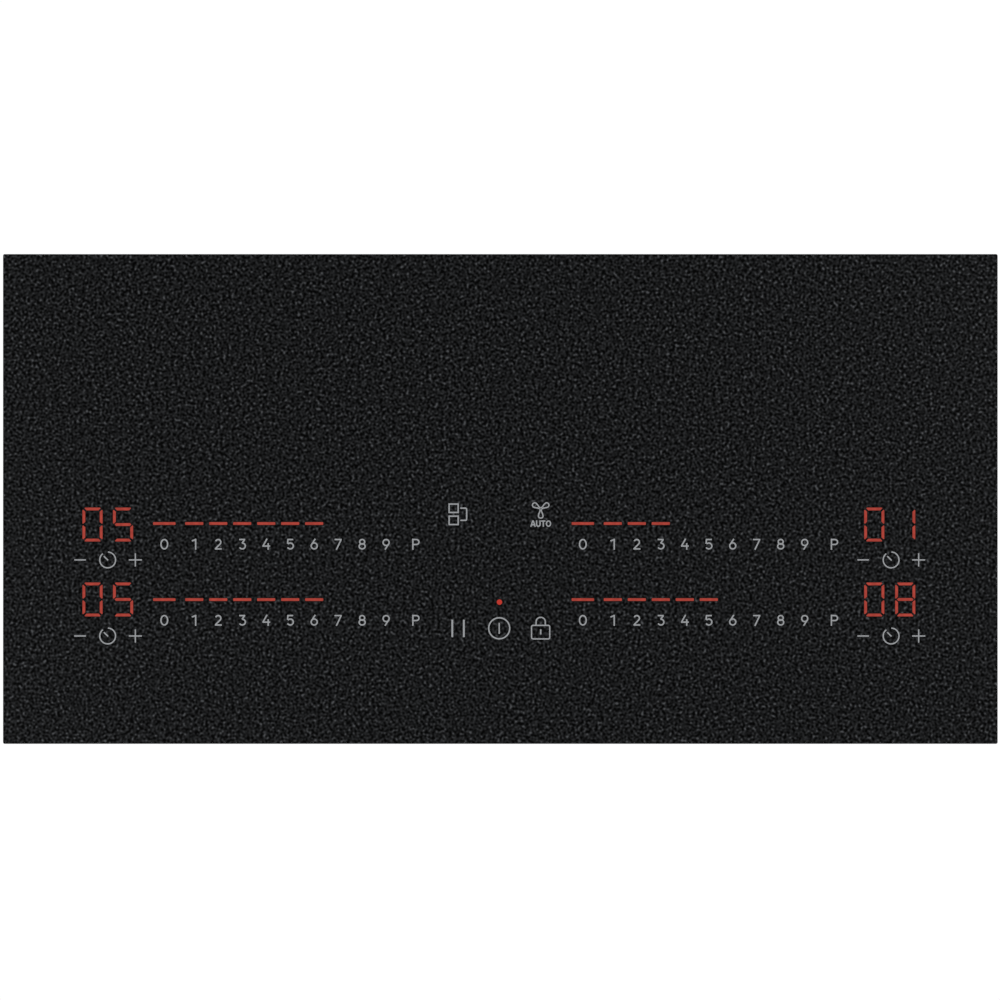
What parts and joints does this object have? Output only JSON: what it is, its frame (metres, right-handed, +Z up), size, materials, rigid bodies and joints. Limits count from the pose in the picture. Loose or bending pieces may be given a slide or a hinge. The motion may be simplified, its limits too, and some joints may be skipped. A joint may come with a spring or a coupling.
{
  "type": "induction hob",
  "caption": "Frameless matt-black built-in induction hob on a steel tray: a row of zones behind a touch panel with power sliders, timers and lit displays.",
  "frame": {"origin": "centre of the worktop plane under the glass rim, where the seal rests", "axes": "+X to the right along the long side, +Y to the rear away from the cook, +Z up; the control legends read upright from -Y"},
  "size_m": [0.88, 0.4332, 0.058],
  "materials": {
    "ceramic_glass": "matt black, fine speckle",
    "seal_foam": "closed-cell, matt",
    "bond_silicone": "matt",
    "galvanised_steel": "spangled zinc, satin",
    "frame_steel": "black powder coat",
    "spring_steel": "satin",
    "zinc_screws": "zinc plated",
    "deck_aluminium": "mill finish",
    "ferrite": "sintered, matt",
    "mica": "pressed mica paper",
    "former_plastic": "moulded, heat resistant",
    "copper_litz": "enamelled copper strand",
    "silicone_cup": "silicone",
    "lead_sleeve": "silicone glass sleeve",
    "circuit_board": "solder mask",
    "touch_circuit_board": "black solder mask",
    "component_case": "moulded",
    "black_anodised": "extruded, mill finish",
    "fan_plastic": "moulded",
    "carrier_plastic": "moulded",
    "terminal_plastic": "moulded",
    "gland_plastic": "moulded nylon",
    "liner_film": "film",
    "post_nylon": "natural nylon",
    "label_foil": "satin foil",
    "conductive_foam": "foam",
    "display_case": "potted",
    "led_red": "tinted diffuse",
    "ribbon_grey": "flat cable"
  },
  "bodies": {
    "hob": {"base_tray": "galvanised_steel", "board_parts_left": "component_case", "board_parts_right": "component_case", "cable_gland": "gland_plastic", "centring_springs": "spring_steel", "clamp_brackets": "galvanised_steel", "clamp_screws": "zinc_screws", "coil_leads": "lead_sleeve", "control_carrier": "carrier_plastic", "deck_springs": "spring_steel", "display_modules": "display_case", "fan_housing_left": "fan_plastic", "fan_housing_right": "fan_plastic", "filter_board": "circuit_board", "filter_parts": "component_case", "glass_bond": "bond_silicone", "glass_top": "ceramic_glass", "heat_sink_left": "black_anodised", "heat_sink_right": "black_anodised", "insulation_liner": "liner_film", "light_bars": "display_case", "pilot_lamp": "led_red", "power_board_left": "circuit_board", "power_board_right": "circuit_board", "power_transistors_left": "component_case", "power_transistors_right": "component_case", "rating_plate": "label_foil", "ribbon_cables": "ribbon_grey", "support_frame": "frame_steel", "support_posts": "post_nylon", "terminal_block": "terminal_plastic", "terminal_cover": "galvanised_steel", "terminal_cover_screws": "zinc_screws", "terminal_screws": "zinc_screws", "touch_board": "touch_circuit_board", "touch_pads": "conductive_foam", "tray_screws": "zinc_screws", "worktop_seal": "seal_foam"},
    "coil_deck": {"coil_deck_plate": "deck_aluminium", "coil_former_1": "former_plastic", "coil_former_2": "former_plastic", "coil_former_3": "former_plastic", "coil_former_4": "former_plastic", "coil_winding_1": "copper_litz", "coil_winding_2": "copper_litz", "coil_winding_3": "copper_litz", "coil_winding_4": "copper_litz", "ferrite_bars": "ferrite", "mica_sheet": "mica", "zone_sensors": "silicone_cup"},
    "fan_left": {"fan_rotor_left": "fan_plastic"},
    "fan_right": {"fan_rotor_right": "fan_plastic"},
    "clamp_nut_rear_left": {"clamp_nut_rear_left": "zinc_screws"},
    "clamp_arm_rear_left": {"clamp_arm_rear_left": "galvanised_steel"},
    "clamp_nut_rear_right": {"clamp_nut_rear_right": "zinc_screws"},
    "clamp_arm_rear_right": {"clamp_arm_rear_right": "galvanised_steel"},
    "clamp_nut_front_left": {"clamp_nut_front_left": "zinc_screws"},
    "clamp_arm_front_left": {"clamp_arm_front_left": "galvanised_steel"},
    "clamp_nut_front_right": {"clamp_nut_front_right": "zinc_screws"},
    "clamp_arm_front_right": {"clamp_arm_front_right": "galvanised_steel"}
  },
  "joints": [
    {"name": "deck_press", "type": "slide", "parent": "hob", "child": "coil_deck", "axis": [0, 0, 1], "range_m": [-0.004, 0], "stiffness_N_per_m": 6000, "springref_m": 0.014, "deforming": ["deck_springs", "coil_leads"]},
    {"name": "fan_spin_left", "type": "hinge", "parent": "hob", "child": "fan_left", "pos_m": [-0.062, 0.078, -0.0345], "axis": [0, 0, 1], "continuous": true},
    {"name": "fan_spin_right", "type": "hinge", "parent": "hob", "child": "fan_right", "pos_m": [0.062, 0.078, -0.0345], "axis": [0, 0, 1], "continuous": true},
    {"name": "clamp_travel_rear_left", "type": "slide", "parent": "hob", "child": "clamp_nut_rear_left", "axis": [0, 0, 1], "range_m": [0, 0.012]},
    {"name": "clamp_swing_rear_left", "type": "hinge", "parent": "clamp_nut_rear_left", "child": "clamp_arm_rear_left", "pos_m": [-0.33, 0.19795, -0.0413], "axis": [0, 0, 1], "range_deg": [0, 90]},
    {"name": "clamp_travel_rear_right", "type": "slide", "parent": "hob", "child": "clamp_nut_rear_right", "axis": [0, 0, 1], "range_m": [0, 0.012]},
    {"name": "clamp_swing_rear_right", "type": "hinge", "parent": "clamp_nut_rear_right", "child": "clamp_arm_rear_right", "pos_m": [0.33, 0.19795, -0.0413], "axis": [0, 0, -1], "range_deg": [0, 90]},
    {"name": "clamp_travel_front_left", "type": "slide", "parent": "hob", "child": "clamp_nut_front_left", "axis": [0, 0, 1], "range_m": [0, 0.012]},
    {"name": "clamp_swing_front_left", "type": "hinge", "parent": "clamp_nut_front_left", "child": "clamp_arm_front_left", "pos_m": [-0.33, -0.19795, -0.0413], "axis": [0, 0, -1], "range_deg": [0, 90]},
    {"name": "clamp_travel_front_right", "type": "slide", "parent": "hob", "child": "clamp_nut_front_right", "axis": [0, 0, 1], "range_m": [0, 0.012]},
    {"name": "clamp_swing_front_right", "type": "hinge", "parent": "clamp_nut_front_right", "child": "clamp_arm_front_right", "pos_m": [0.33, -0.19795, -0.0413], "axis": [0, 0, 1], "range_deg": [0, 90]}
  ]
}
